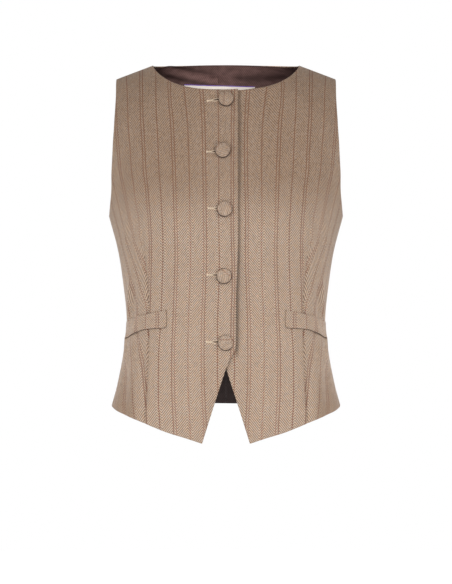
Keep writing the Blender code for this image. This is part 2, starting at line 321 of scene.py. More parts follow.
def on_edge(table, down, behind=False):
    """Spots of a cut edge that a table gives as distance out against drop."""
    out = np.full(np.shape(down), float(table[0][1]))
    for _ in range(EDGE_ROUNDS):
        drop = fall(down) + ridge_drop(out)
        out = at(table, drop)
    return spot(turn_at(out, drop, behind), down)


def side_seam(down, behind):
    depth = at(FORM, fall(down))[2 if behind else 1]
    step = (SEAM_GAP / 2) / depth
    return spot(math.pi / 2 + step if behind else math.pi / 2 - step, down)


def neckline(out, behind, inset=0.0):
    """The neckline, from the centre to the neck point of the shoulder."""
    share = np.minimum(np.abs(out) / NECK_HALF, 1.0)
    flat, rounded = NECK_CURVE
    in_front = NECK_DEPTH_FRONT * (1 - share ** flat) ** rounded
    drop = -NECK_RISE_BACK * (1 - share ** 2) if behind else in_front
    down = np.maximum(way_down(out, drop) + inset, SEAM_GAP)
    return spot(turn_at(out, drop, behind), down)


def hem(turn, behind, rise=0.0):
    """The hem at a turn: level behind, running down to the points in front."""
    drop = np.full(np.shape(turn), BACK_HEM_DROP)
    for _ in range(HEM_ROUNDS):
        out = at(FORM, drop)[0] * fullness(turn)
        drop = drop if behind else at(FRONT_HEM, out)
    return spot(turn, way_down(out, drop - rise))


def shares(count, length, fine_start, fine_end):
    """Shares from 0 to 1, even but for narrow steps at a turned edge or a seam."""
    start = [step / length for step in EDGE_STEPS] if fine_start else [0.0]
    end = [1 - step / length for step in EDGE_STEPS[::-1]] if fine_end else [1.0]
    return np.array(start[:-1] + list(np.linspace(start[-1], end[0], count + 1)) + end[1:])


def folds(table, width, drop):
    """Height of the soft ridges and troughs of a table over the cloth."""
    height = np.zeros(width.shape)
    for start, start_drop, end, end_drop, half, rise in table:
        length = math.hypot(end - start, end_drop - start_drop)
        run, fall_off = (end - start) / length, (end_drop - start_drop) / length
        along = ((width - start) * run + (drop - start_drop) * fall_off) / length
        beside = ((width - start) * fall_off - (drop - start_drop) * run) / half
        ends = eased(along / FOLD_FADE + 0.5) * eased((1 - along) / FOLD_FADE + 0.5)
        height = height + rise * np.exp(-beside ** 2) * ends
    return height


def blended(u, v, top, bottom, left, right):
    """The patch that four rows of spots span."""
    across, along = u[None, :, None], v[:, None, None]
    sides = left[:, None] * (1 - across) + right[:, None] * across
    ends = top[None] * (1 - along) + bottom[None] * along
    corners = (top[0] * (1 - across) + top[-1] * across) * (1 - along)
    corners = corners + (bottom[0] * (1 - across) + bottom[-1] * across) * along
    return sides + ends - corners


def as_object(name, shape, materials):
    mesh = bpy.data.meshes.new(name)
    shape.to_mesh(mesh)
    shape.free()
    for material in materials:
        mesh.materials.append(material)
    made = bpy.data.objects.new(name, mesh)
    bpy.context.scene.collection.objects.link(made)
    return made


def cloth(name, face, reverse, cut, materials, second=(), side_cut=None, seam_column=0):
    """A closed sheet of cloth through rows of points, with its cut laid out in a UV map.

    The parts of it that are named in second are made of the second material. Beyond the seam column the
    cut goes on in side_cut.
    """
    rows, columns = face.shape[0] - 1, face.shape[1] - 1
    shape = bmesh.new()
    bmesh.ops.create_grid(shape, x_segments=columns, y_segments=rows, size=0.5)
    made = bmesh.ops.extrude_face_region(shape, geom=shape.faces[:], use_keep_orig=True)["geom"]
    for vert in (part for part in made if isinstance(part, bmesh.types.BMVert)):
        vert.co.z = -1.0

    # The sheet is still flat here: one wide, one high, with its reverse one below
    layer = shape.loops.layers.uv.new("cut")
    for part in shape.faces:
        middle = part.calc_center_median()
        part.smooth = True
        places = {
            "reverse": middle.z < -0.9 and middle.x > -0.5 + TURNED_IN / columns,
            "foot": middle.y < -0.499,
            "neck": middle.y > 0.5 - 1.2 / rows,
        }
        part.material_index = int(any(places[place_name] for place_name in second))
        beyond_seam = side_cut is not None and (middle.x + 0.5) * columns > seam_column
        table = side_cut if beyond_seam else cut
        for loop in part.loops:
            place = loop.vert.co
            loop[layer].uv = table[round((0.5 - place.y) * rows), round((place.x + 0.5) * columns)]
    for vert in shape.verts:
        row, column = round((0.5 - vert.co.y) * rows), round((vert.co.x + 0.5) * columns)
        vert.co = (reverse if vert.co.z < -0.5 else face)[row, column]
    bmesh.ops.scale(shape, vec=(MM, MM, MM), verts=shape.verts[:])
    bmesh.ops.recalc_face_normals(shape, faces=shape.faces[:])
    if shape.calc_volume(signed=True) < 0:
        bmesh.ops.reverse_faces(shape, faces=shape.faces[:])
    return as_object(name, shape, materials)


def panel(name, side, behind, edges, counts, wall, set_in, grain, materials, second=()):
    """Half a front, back or lining: a patch inside the dart line and one outside it."""
    centre, dart, armhole, neck, foot = edges
    (inner_columns, outer_columns), (upper_rows, lower_rows) = counts
    arm_down = way_down(at(armhole, UNDERARM_DROP), UNDERARM_DROP)
    neck_point = neck(np.array([1.0]))[0]
    tip = on_edge(armhole, neck_point[1], behind)
    seam = side_seam(arm_down, behind)[0]
    front_point = foot(None)
    dart_foot = foot(turn_at(dart[-1][1], dart[-1][0], behind))
    side_foot = foot(seam)
    upper = shares(upper_rows, PANEL_LENGTHS[0], True, False)
    lower = shares(lower_rows, PANEL_LENGTHS[1], False, True)
    inner = shares(inner_columns, PANEL_WIDTHS[0], True, True)
    outer = shares(outer_columns, PANEL_WIDTHS[1], True, True)
    v = np.concatenate((upper * UPPER_SHARE, UPPER_SHARE + lower[1:] * (1 - UPPER_SHARE)))

    def row_down(top, bottom):
        above = top + (arm_down - top) * upper * (1 + ARMHOLE_ROUNDING * (1 - upper))
        return np.concatenate((above, arm_down + (bottom - arm_down) * lower[1:]))

    centre_line = centre(row_down(neck(np.array([0.0]))[0, 1], front_point[1]))
    dart_line = on_edge(dart, row_down(neck_point[1], dart_foot[1]), behind)
    side_down = row_down(neck_point[1], side_foot[1])
    arm_line = on_edge(armhole, side_down, behind)
    arm_line[:, 0] = np.maximum(arm_line[:, 0], seam) if behind else np.minimum(arm_line[:, 0], seam)
    above = np.arange(len(side_down)) < len(upper)
    side_line = np.where(above[:, None], arm_line, side_seam(side_down, behind))

    between = outer[:, None]
    shoulder = neck_point * (1 - between) + tip * between
    hem_inside = foot(front_point[0] * (1 - inner) + dart_foot[0] * inner)
    hem_outside = foot(dart_foot[0] * (1 - outer) + side_foot[0] * outer)
    inside = blended(inner, v, neck(inner), hem_inside, centre_line, dart_line)
    outside = blended(outer, v, shoulder, hem_outside, dart_line, side_line)
    spots = np.concatenate((inside, outside[:, 1:]), 1)
    turn, down = spots[..., 0], spots[..., 1]
    points, facing = form(turn, down), outward(turn, down)
    out, drop = points[..., 0], -points[..., 2]

    # Every edge is turned in: its outermost ring lies farther into the cloth's thickness than the next
    rolled = np.zeros(turn.shape)
    rolled[[0, -1], :] = rolled[:, [0, -1]] = EDGE_ROLL[0] * wall
    rolled[[1, -2], 1:-1] = rolled[1:-1, [1, -2]] = EDGE_ROLL[1] * wall
    from_centre = math.pi - turn if behind else turn
    width = np.abs(width_to(turn, down, math.pi if behind else 0.0)) * np.sign(from_centre)
    seam_column = len(inner) - 1
    depth = set_in(out, drop, width, turn - turn[:, [seam_column]])
    face = points - facing * (depth + rolled)[..., None]
    reverse = points - facing * (depth + wall - rolled)[..., None]
    cut, side_cut = grain(width, down + ridge_drop(out), drop)
    for rows in (face, reverse):
        rows[..., 0] *= side
    return cloth(name, face, reverse, cut * MM, materials, second, side_cut * MM, seam_column)


class Value:
    """A socket of a material, to be worked with as a number."""

    def __init__(self, finish, socket):
        self.finish = finish
        self.socket = socket

    def through(self, operation, *others):
        return self.finish.node("ShaderNodeMath", {"operation": operation}, dict(enumerate((self, *others))))

    def clamped(self):
        return self.through("MINIMUM", 1.0).through("MAXIMUM", 0.0)

    def __add__(self, other):
        return self.through("ADD", other)

    __radd__ = __add__

    def __sub__(self, other):
        return self.through("SUBTRACT", other)

    def __rsub__(self, other):
        return self.finish.node("ShaderNodeMath", {"operation": "SUBTRACT"}, {0: other, 1: self})

    def __mul__(self, other):
        return self.through("MULTIPLY", other)

    __rmul__ = __mul__

    def __truediv__(self, other):
        return self.through("DIVIDE", other)

    def __abs__(self):
        return self.through("ABSOLUTE")


class Finish:
    """A material in the making: one method adds any node, settings first and then its inputs."""

    def __init__(self, name, **constants):
        self.material = bpy.data.materials.new(name)
        self.material.use_nodes = True
        self.tree = self.material.node_tree
        self.shader = self.tree.nodes["Principled BSDF"]
        for socket, value in constants.items():
            self.shader.inputs[socket.replace("_", " ")].default_value = value

    def node(self, kind, settings=None, inputs=None, output=0):
        made = self.tree.nodes.new(kind)
        for setting, value in (settings or {}).items():
            setattr(made, setting, value)
        for socket, value in (inputs or {}).items():
            if isinstance(value, Value):
                self.tree.links.new(value.socket, made.inputs[socket])
            else:
                made.inputs[socket].default_value = value
        return Value(self, made.outputs[output])

    def mixed(self, share, first, second, blend="MIX"):
        settings = {"data_type": "RGBA", "blend_type": blend}
        return self.node("ShaderNodeMix", settings, {0: share, 6: first, 7: second}, 2)

    def cut_map(self):
        """Millimetres across and along the grain of the cut cloth."""
        cut = self.node("ShaderNodeUVMap", {"uv_map": "cut"})
        parts = [self.node("ShaderNodeSeparateXYZ", None, {0: cut}, axis) for axis in (0, 1)]
        return parts[0] * 1000.0, parts[1] * 1000.0

    def on_object(self):
        return self.node("ShaderNodeTexCoord", None, None, 3)

    def on_form(self):
        """How far to the wearer's left, behind and up a point of the garment lies, in metres."""
        place = self.on_object()
        return [self.node("ShaderNodeSeparateXYZ", None, {0: place}, axis) for axis in range(3)]

    def on_plane(self, across, along):
        return self.node("ShaderNodeCombineXYZ", None, {0: across, 1: along, 2: 0.0})

    def speckle(self, across, along, size, stretch=1.0, detail=1.0):
        """Uneven spots of a size in millimetres, around 0."""
        place = self.on_plane(across / size, along / (size * stretch))
        inputs = {"Vector": place, "Scale": 1.0, "Detail": detail}
        return self.node("ShaderNodeTexNoise", {"noise_dimensions": "2D"}, inputs) - 0.5

    def yarns(self, across, along):
        """One chance value from 0 to 1 for each yarn float."""
        place = self.on_plane(across.through("FLOOR"), along.through("FLOOR"))
        return self.node("ShaderNodeTexWhiteNoise", {"noise_dimensions": "2D"}, {0: place})

    def between(self, value, start, end, low, high):
        """Runs smoothly from low to high while the value runs from start to end."""
        ends = {0: value, 1: start, 2: end, 3: low, 4: high}
        return self.node("ShaderNodeMapRange", {"interpolation_type": "SMOOTHSTEP"}, ends)

    def set(self, socket, value):
        self.tree.links.new(value.socket, self.shader.inputs[socket])

    def raise_by(self, height, strength, distance):
        inputs = {"Strength": strength, "Distance": distance, "Height": height}
        self.set("Normal", self.node("ShaderNodeBump", None, inputs))


# Stripes, one repeat 39.4 mm wide: a double one, then a single one half a repeat on
STRIPE_REPEAT = 39.4
DOUBLE_AT = 27.8
DOUBLE_HALF = 1.85
STRIPE_WIDTH = 1.0
STRIPE_BLUR = 0.35
STRIPE_COLOUR = (0.230, 0.078, 0.045, 1.0)
# How strong a stripe is, and its dots on the chest, how much more they show lower down, and its yarns
STRIPE_STRENGTH = 0.62
DOTS_ON_CHEST = 0.15
DOTS_LOWER = 0.55
STRIPE_YARNS = 0.2
SCRAP_STRIPE = 0.6

# The twill leans one way in wide columns and the other way in narrow ones, which lie under the stripes
RIB_RISE = 3.64
RIB_RUN = 2.95
NARROW = 6.6
YARN = 1.2
YARNS_IN_RIB = 3
# How boldly the ribs show on the chest, how much more lower down, and on a button's scrap
RIB_ON_CHEST = 0.38
RIB_LOWER = 0.32
RIB_ON_SCRAP = 0.25
RIB_PATCH = (5.0, 1.5)
RIB_UNEVEN = 1.2
YARN_TONE = 0.30
# Flecks, streaks and clouds in the cloth: size, stretch along the grain, and strength
UNEVEN_TONE = ((2.1, 2.4, 0.5), (1.2, 24.0, 0.35), (16.0, 2.5, 0.12))
SUITING_LIGHT = (0.675, 0.515, 0.390, 1.0)
SUITING_DARK = (0.210, 0.141, 0.099, 1.0)
WARM = (1.09, 1.0, 0.90, 1.0)
COOL = (0.93, 1.0, 1.10, 1.0)
TINT_APART = 71

# Where the cloth's look changes on the form, in metres: start, end, value before and after
LOWER = (-0.150, -0.200, 0.0, 1.0)
BEYOND_DART = (0.112, 0.130, 0.0, 1.0)
RIB_LOSS_AT_SIDE = (-0.28, -0.36, 0.04, 0.26)
# Painted shade: the suiting is darkened towards a dark brown on the chest (less in the middle and near the
# armholes below the shoulder), near the points and on the low sides beyond the dart, where less light falls
CHEST_END = (-0.150, -0.235)
CHEST_PAINTED_SHADE = 0.37
CHEST_PAINTED_SHADE_ON_SCRAP = 0.22
CHEST_MIDDLE = (0.005, 0.060, 0.72, 1.0)
PAINTED_LIGHT_AT_ARMHOLE = (0.118, 0.156, 0.0, 0.40)
PAINTED_LIGHT_BELOW_SHOULDER = (-0.05, -0.13, 0.0, 1.0)
POINTS_MIDDLE = (0.022, 0.052, 0.06, 0.0)
POINTS_TOP = (-0.37, -0.42, 0.0, 1.0)
LOW_SIDES_PAINTED_SHADE = (-0.385, -0.470, 0.0, 0.22)
SUITING_PAINTED_SHADE = (0.130, 0.047, 0.0, 1.0)
# The line beside the lap's edge, where the front beneath lies in the edge's shade
LINE_SHIFT = (-0.240, -0.330, 0.0, 0.0026)
LINE_START = (0.0152, 0.0162, 0.0, 1.0)
LINE_END = (0.0170, 0.0212, 1.0, 0.0)
LINE_STRENGTH = (-0.225, -0.275, 0.12, 0.40)
LINE_FOOT = (-0.390, -0.402, 1.0, 0.0)
IN_FRONT = (-0.03, -0.05, 0.0, 1.0)
LAP_SHADE = (0.055, 0.038, 0.030, 1.0)


def herringbone(across, along):
    """Rows of the twill, which turns back at each narrow column."""
    gap = STRIPE_REPEAT / 2
    run = (across - (DOUBLE_AT - gap) + NARROW / 2) / gap
    place = run.through("FRACT") * gap
    lean = run.through("FLOOR") * (gap - 2 * NARROW)
    lean = lean + (place - NARROW).through("MAXIMUM", 0.0) - place.through("MINIMUM", NARROW)
    return along / RIB_RISE - lean / RIB_RUN


def stripe_lines(across):
    """Way out from the middle of the double stripe, and 1 in any stripe."""
    off = abs(((across - DOUBLE_AT) / STRIPE_REPEAT + 0.5).through("FRACT") - 0.5) * STRIPE_REPEAT
    apart = (abs(off - DOUBLE_HALF), STRIPE_REPEAT / 2 - off)
    double, single = (1 - (way - STRIPE_WIDTH / 2).through("MAXIMUM", 0.0) / STRIPE_BLUR for way in apart)
    return off, double.through("MAXIMUM", single).through("MAXIMUM", 0.0)


def suiting_finish(name, scrap=False):
    """Herringbone wool blend in beige and taupe yarns, with dotted red-brown stripes, and painted shade on
    the chest, near the points, on the low sides and beside the lap's edge.
    """
    finish = Finish(name, Roughness=0.7, Sheen_Weight=0.1, Sheen_Roughness=0.5, Specular_IOR_Level=0.3)
    across, along = finish.cut_map()
    sideways, depth, height = finish.on_form()
    out = abs(sideways)
    low = finish.between(height, *LOWER)
    beside = finish.between(out, *BEYOND_DART)

    row = herringbone(across, along)
    rib = (row * math.tau).through("SINE")
    rib = rib * (1 + finish.speckle(across, along, *RIB_PATCH) * RIB_UNEVEN)
    bold = RIB_ON_SCRAP
    if not scrap:
        bold = RIB_ON_CHEST + RIB_LOWER * low - finish.between(height, *RIB_LOSS_AT_SIDE) * beside * low
    yarn = finish.yarns(across / YARN, row * YARNS_IN_RIB) - 0.5
    tone = 0.5 + rib * bold + yarn * YARN_TONE
    for size, stretch, strength in UNEVEN_TONE:
        tone = tone + finish.speckle(across, along, size, stretch) * strength
    tint = finish.mixed(finish.yarns(across / YARN + TINT_APART, row * YARNS_IN_RIB), WARM, COOL)
    ground = finish.mixed(tone.clamped(), SUITING_DARK, SUITING_LIGHT)
    ground = finish.mixed(1.0, ground, tint, "MULTIPLY")

    off, line = stripe_lines(across)
    beads = ((along / RIB_RISE + (off - DOUBLE_HALF).through("SIGN") * 0.25) * math.tau).through("SINE")
    dots = STRIPE_STRENGTH + (DOTS_ON_CHEST + DOTS_LOWER * low) * beads + yarn * STRIPE_YARNS
    stripe = (line * dots * (SCRAP_STRIPE if scrap else 1.0)).clamped()

    # Painted shade on the chest, less in the middle and near the armholes, then near the points and on the
    # low sides
    chest = finish.between(height, *CHEST_END, CHEST_PAINTED_SHADE_ON_SCRAP if scrap else CHEST_PAINTED_SHADE, 0.0)
    painted_light = finish.between(out, *PAINTED_LIGHT_AT_ARMHOLE) * finish.between(height, *PAINTED_LIGHT_BELOW_SHOULDER)
    chest = chest * (1 - painted_light) * finish.between(out, *CHEST_MIDDLE)
    points = finish.between(out, *POINTS_MIDDLE) * finish.between(height, *POINTS_TOP)
    shade = chest + points + beside * finish.between(height, *LOW_SIDES_PAINTED_SHADE)
    beyond = sideways + finish.between(height, *LINE_SHIFT)
    lap = finish.between(beyond, *LINE_START) * finish.between(beyond, *LINE_END)
    lap = lap * finish.between(height, *LINE_STRENGTH) * finish.between(height, *LINE_FOOT)
    lap = lap * finish.between(depth, *IN_FRONT)
    colour = finish.mixed(shade, finish.mixed(stripe, ground, STRIPE_COLOUR), SUITING_PAINTED_SHADE)
    finish.set("Base Color", finish.mixed(lap, colour, LAP_SHADE))
    finish.raise_by(rib * 0.35 + yarn * 0.8 - stripe * 0.4, strength=0.35, distance=0.00025)
    return finish.material


SATIN_LIGHT = (0.165, 0.095, 0.086, 1.0)
SATIN_DARK = (0.050, 0.026, 0.023, 1.0)
BLACK = (0.0, 0.0, 0.0, 1.0)
TWILL_PITCH = 2.7
TWILL_LEAN = 0.62
TWILL_TONE = 0.24
# Clouds in the satin: size, stretch along the grain and detail, then their strength
SATIN_CLOUDS = (12.0, 0.6, 2.0)
SATIN_CLOUD_TONE = 0.9
# Painted shade: the satin darkens lower down, where the inside of the garment lies in shade
PAINTED_SHADE_INSIDE = (-0.10, -0.36, 0.0, 0.70)


def lining_finish(name, lightness=0.45):
    """Dark brown twill satin with a soft shine, darkened lower down with painted shade."""
    finish = Finish(name, Roughness=0.42, Specular_IOR_Level=0.24)
    across, along = finish.cut_map()
    height = finish.on_form()[2]
    twill = (((across + along * TWILL_LEAN) / TWILL_PITCH) * math.tau).through("SINE")
    clouds = finish.speckle(across, along, *SATIN_CLOUDS)
    tone = (lightness + twill * TWILL_TONE + clouds * SATIN_CLOUD_TONE).clamped()
    shade = finish.between(height, *PAINTED_SHADE_INSIDE)
    finish.set("Base Color", finish.mixed(shade, finish.mixed(tone, SATIN_DARK, SATIN_LIGHT), BLACK))
    finish.raise_by(twill, strength=0.25, distance=0.0002)
    return finish.material


suiting = suiting_finish("suiting")
lining_satin = lining_finish("lining_satin")


def front_panel(name, side, laps_over):
    neck_out = FRONT_EDGE[0][1]
    point_drop, point_out = FRONT_EDGE[-1]

    def neck(u):
        return neckline(neck_out + (NECK_HALF - neck_out) * np.sin(u * math.pi / 2), False)

    def centre(down):
        return on_edge(FRONT_EDGE, down)

    def foot(turn):
        return hem(turn_at(point_out, point_drop) if turn is None else turn, False)

    def set_in(out, drop, width, from_dart):
        groove = np.exp(-(from_dart * FRONT_RADIUS / DART_HALF) ** 2)
        depth = DART_DEPTH * passed(drop, *DART_OPENS) * groove
        depth = depth - folds(FRONT_FOLDS, width, drop)
        if laps_over:
            from_edge = (out - at(FRONT_EDGE, drop)) / EDGE_LIFT_WIDTH
            stands_off = at(EDGE_LIFT, within(EDGE_LIFT, drop)) * np.exp(-from_edge ** 2)
            return depth - stands_off - folds(LAP_RIPPLES, out, drop)
        near = 1 - passed(out, LAP + LAP_MARGIN, LAP_BLEND)
        return depth + LAP_SET_BACK * near * (1 - passed(drop, *LAP_END))

    def grain(width, length, drop):
        share, farther, shift = at(GRAIN, drop)
        inside = width * (share + (farther - share) * passed(width, *FARTHER_OUT)) + shift
        if laps_over:
            near_edge = np.maximum(LAP_LEAN_WIDTH - width, 0.0)
            inside = inside - LAP_LEAN * near_edge * (1 - passed(drop, *LAP_LEAN_ENDS))
        else:
            near_neck = (1 - passed(drop, *UNDER_SHIFT_DROP)) * (1 - passed(width, *UNDER_SHIFT_WIDTH))
            inside = inside + UNDER_SHIFT * near_neck
        open_dart = passed(drop, *GRAIN_PARTS_DROP)
        beyond = passed(width, *GRAIN_PARTS_WIDTH) * (1 - open_dart) + open_dart
        taken = np.maximum(at(DART_INTAKE, within(DART_INTAKE, drop)), 0.0) * beyond
        return np.stack((inside, length), -1), np.stack((inside + taken, length), -1)

    edges = (centre, FRONT_DART, FRONT_ARMHOLE, neck, foot)
    made = panel(name, side, False, edges, (FRONT_COLUMNS, FRONT_ROWS), FRONT_WALL, set_in, grain,
                 (suiting, lining_satin), ("reverse",))
    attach(made, "root")
    return made


for word, side in SIDES:
    front = front_panel(f"front_{word}_cloth", side, word == "right")
    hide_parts(f"front_{word}")

# ----------------------------- The backs
# Two backs of the same suiting, joined by a seam down the middle and shaped at the waist by one dart each.
# Their edges are turned in against the lining.

BACK_WALL = 1.2
BACK_ARMHOLE = (
    (18.9, 150.2), (47, 147.0), (80, 146.8), (145, 150.0), (177, 153.0), (198, 157.2), (208, 159.6),
)
BACK_DART = ((0, 100.0), (110, 96.0), (235, 88.0), (351, 80.0), (466, 86.0))
BACK_DART_OPENS = (190.0, 60.0)
BACK_DART_DEPTH = 0.8
BACK_RADIUS = 110.0
BACK_INTAKE = ((190, 0.0), (250, 5.0), (300, 11.0), (351, 15.0), (400, 10.0), (466, 4.0))
BACK_COLUMNS = (34, 34)
BACK_ROWS = (70, 90)
BACK_FOLDS = (
    (16, 298, 92, 318, 8.0, 1.3),
    (12, 336, 84, 344, 8.0, -1.1),
    (20, 372, 96, 360, 8.5, 1.2),
    (60, 118, 104, 196, 12.0, 0.9),
    (128, 206, 104, 280, 9.0, 1.0),
    (46, 400, 52, 466, 11.0, -0.9),
    (100, 390, 108, 466, 12.0, 0.9),
)

# The lining follows the back: set in from its armhole, past its neck and hem, with a shallower dart
LINING_EASE = 0.9
LINING_WALL = 1.0
LINING_INSET = 2.0
LINING_INSET_END = UNDERARM_DROP - 5
LINING_NECK_INSET = -2.4
LINING_HEM_INSET = -0.4
LINING_SEAM_LEAN = -12.5
LINING_DART_SHARE = 0.2
# Folds of the lining at the neck, on the wearer's right and left
LINING_FOLDS = {
    -1: ((90, -3.5, 18, 9, 2.8, -1.7), (94, 2.5, 12, 17, 4.2, 2.6)),
    1: ((16, 5, 92, 4, 6.5, 3.0),),
}


def back_panel(name, side, is_lining, materials, second=()):
    inset = LINING_INSET if is_lining else 0.0
    depth = BACK_WALL + LINING_EASE if is_lining else 0.0
    lean = LINING_SEAM_LEAN if is_lining else 0.0

    def centre_turn(down):
        share = 1 - np.minimum(fall(down) / BACK_HEM_DROP, 1.0)
        step = SEAM_GAP / 2 + lean * side * share
        return math.pi - step / at(FORM, fall(down))[0]

    def neck(u):
        start = centre_turn(way_down(0.0, -NECK_RISE_BACK))
        turn = start + (turn_at(NECK_HALF, 0.0, True) - start) * u
        out = at(FORM, 0.0)[0] * fullness(turn)
        return spot(turn, neckline(np.minimum(out, NECK_HALF), True, LINING_NECK_INSET * is_lining)[..., 1])

    def centre(down):
        return spot(centre_turn(down), down)

    def foot(turn):
        return hem(centre_turn(BACK_HEM_DROP) if turn is None else turn, True, LINING_HEM_INSET * is_lining)

    def set_in(out, drop, width, from_dart):
        dart = np.exp(-(from_dart * BACK_RADIUS / DART_HALF) ** 2) * passed(drop, *BACK_DART_OPENS)
        groove = BACK_DART_DEPTH * dart * (LINING_DART_SHARE if is_lining else 1.0)
        shape = depth + groove - folds(BACK_FOLDS, width, drop)
        return shape + folds(LINING_FOLDS[side], width, drop) if is_lining else shape

    def grain(width, length, drop):
        taken = np.maximum(at(BACK_INTAKE, within(BACK_INTAKE, drop)), 0.0)
        return np.stack((width, length), -1), np.stack((width + taken, length), -1)

    armhole = tuple((drop, out - inset * (drop < LINING_INSET_END)) for drop, out in BACK_ARMHOLE)
    edges = (centre, BACK_DART, armhole, neck, foot)
    wall = LINING_WALL if is_lining else BACK_WALL
    made = panel(name, side, True, edges, (BACK_COLUMNS, BACK_ROWS), wall, set_in, grain, materials, second)
    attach(made, "root")
    return made


for word, side in SIDES:
    back = back_panel(f"back_{word}_cloth", side, False, (suiting,))
    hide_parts(f"back_{word}")

# ---------------- The lining at the back
# Two linings of dark brown satin inside the backs, joined by a seam that leans to one side at the neck.
# Their top edge at the neck is darkened with painted shade, the darkest part that shows.

# Painted shade: a darker copy of the satin along the lining's top edge at the neck
NECK_EDGE_SHADE_LIGHTNESS = -0.25

neck_edge_shade_satin = lining_finish("neck_edge_shade_satin", NECK_EDGE_SHADE_LIGHTNESS)

for word, side in SIDES:
    lining = back_panel(f"lining_{word}_satin", side, True, (lining_satin, neck_edge_shade_satin), ("neck",))
    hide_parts(f"lining_{word}")

# ---------------------- The pocket flaps
# A narrow flap of doubled suiting on each front, from just inside the dart to the side seam. It is sewn
# down along its top edge and cut with its own stripes.

FLAP_WALL = 1.1
FLAP_EASE = 0.5
FLAP_INNER = 79.6
FLAP_TOP_DROP = 334.0
FLAP_DEPTH = 22.4
FLAP_SLOPE = 0.17
# The corner's rise, and the run over which it is rounded off, low down on the flap
FLAP_CORNER = 2.2
FLAP_CORNER_RUN = 3.0
FLAP_CORNER_TOP = 0.85
# How its foot bows away from a straight line: run from the inner end, and how much deeper it is there
FLAP_FOOT = ((0, 1.6), (12, 0.0), (31, -2.1), (42, -2.1), (54, -1.2), (65, 0.7), (87, 2.7))
FLAP_FOOT_LIFT = 0.7
FLAP_FOOT_ROLL = 0.2
# Towards the side seam it lies closer to the front, and is pressed thinner
FLAP_AT_SEAM = (58.0, 24.0)
FLAP_CLOSER = 0.6
FLAP_THINNER = 0.45
FLAP_COLUMNS = 44
FLAP_ROWS = 14
FLAP_GRAIN_START = 92.6
FLAP_FROM_CENTRE = 83.0
# The flap's satin lining drops this far below its foot so that a dark line of it shows: partly the real
# lining, partly painted shadow for the shade under the flap
FLAP_FOOT_SHADOW_DROP = 0.45


def flap(name, side):
    level = way_down(NECK_HALF, FLAP_TOP_DROP + FLAP_DEPTH)
    start = turn_at(FLAP_INNER, FLAP_TOP_DROP + FLAP_DEPTH / 2)
    end = side_seam(level, False)[0]
    across = shares(FLAP_COLUMNS, FLAP_FOOT[-1][0], True, False)
    along = shares(FLAP_ROWS, FLAP_DEPTH, True, True)
    turns = start + (end - start) * across
    ring = form(turns, level)
    runs = np.concatenate(([0.0], np.cumsum(np.linalg.norm(np.diff(ring, axis=0), axis=1))))
    turn, low = np.meshgrid(turns, along)
    run = np.broadcast_to(runs, turn.shape)
    at_corner = np.clip(1 - run / FLAP_CORNER_RUN, 0, 1) ** 1.5
    corner = FLAP_CORNER * at_corner * np.clip((low - FLAP_CORNER_TOP) / (1 - FLAP_CORNER_TOP), 0, 1)
    drop = FLAP_TOP_DROP + FLAP_SLOPE * run + (FLAP_DEPTH + at(FLAP_FOOT, run)) * low - corner
    down = way_down(at(FORM, drop)[0] * fullness(turn), drop)
    points, facing = form(turn, down), outward(turn, down)
    rolled = np.zeros(turn.shape)
    rolled[0, :] = rolled[:, 0] = EDGE_ROLL[0] * FLAP_WALL
    rolled[-1, :] = FLAP_FOOT_ROLL * FLAP_WALL
    at_seam = passed(run, *FLAP_AT_SEAM)
    lift = FLAP_EASE * (1 - FLAP_CLOSER * at_seam) + FLAP_FOOT_LIFT * passed(low, 0.5, 0.5) * (1 - at_seam)
    lift = lift + folds(FRONT_FOLDS, run + FLAP_FROM_CENTRE, drop)
    pressed = 1 - FLAP_THINNER * at_seam
    face = points + facing * (lift + FLAP_WALL * pressed - rolled)[..., None]
    reverse = points + facing * (lift + rolled * pressed)[..., None]
    reverse[-1, :, 2] -= FLAP_FOOT_SHADOW_DROP
    cut = np.stack((FLAP_GRAIN_START + run, FLAP_DEPTH * low + FLAP_SLOPE * run), -1)
    for rows in (face, reverse):
        rows[..., 0] *= side
    made = cloth(name, face, reverse, cut * MM, (suiting, lining_satin), ("reverse", "foot"))
    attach(made, "root")
    return made


for word, side in SIDES:
    piece = flap(f"flap_{word}_cloth", side)
    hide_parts(f"flap_{word}")

# ------------------------ The neck label
# A bare woven tape sewn across the lining below the back neck, with a violet-blue selvedge along its top.
# It hangs a little lower at one end.

LABEL_WALL = 0.8
LABEL_EASE = 0.8
# Its two ends: distance to the wearer's left, and drop of the top edge
LABEL_ENDS = (-59.2, 41.0)
LABEL_TOPS = (18.1, 20.9)
LABEL_DEPTH = 20.0
LABEL_COLUMNS = 60
LABEL_ROWS = 12
LABEL_THREAD = 0.8
LABEL_EDGE = 0.75
LABEL_EDGE_BLUR = 0.2
LABEL_CREAM = (0.76, 0.69, 0.62, 1.0)
LABEL_SHADE = (0.60, 0.54, 0.48, 1.0)
LABEL_BLUE = (0.085, 0.035, 0.22, 1.0)


def label_finish(name):
    finish = Finish(name, Roughness=0.55, Sheen_Weight=0.15, Specular_IOR_Level=0.4)
    across, along = finish.cut_map()
    threads = [(way / LABEL_THREAD * math.tau).through("SINE") for way in (across, along)]
    weave = threads[0] * threads[1]
    tone = 0.8 + weave * 0.12 + finish.speckle(across, along, 2.5) * 0.5
    edge = 1 - ((along - LABEL_EDGE) / LABEL_EDGE_BLUR).clamped()
    cream = finish.mixed(tone.clamped(), LABEL_SHADE, LABEL_CREAM)
    finish.set("Base Color", finish.mixed(edge, cream, LABEL_BLUE))
    finish.raise_by(weave, strength=0.3, distance=0.0001)
    return finish.material


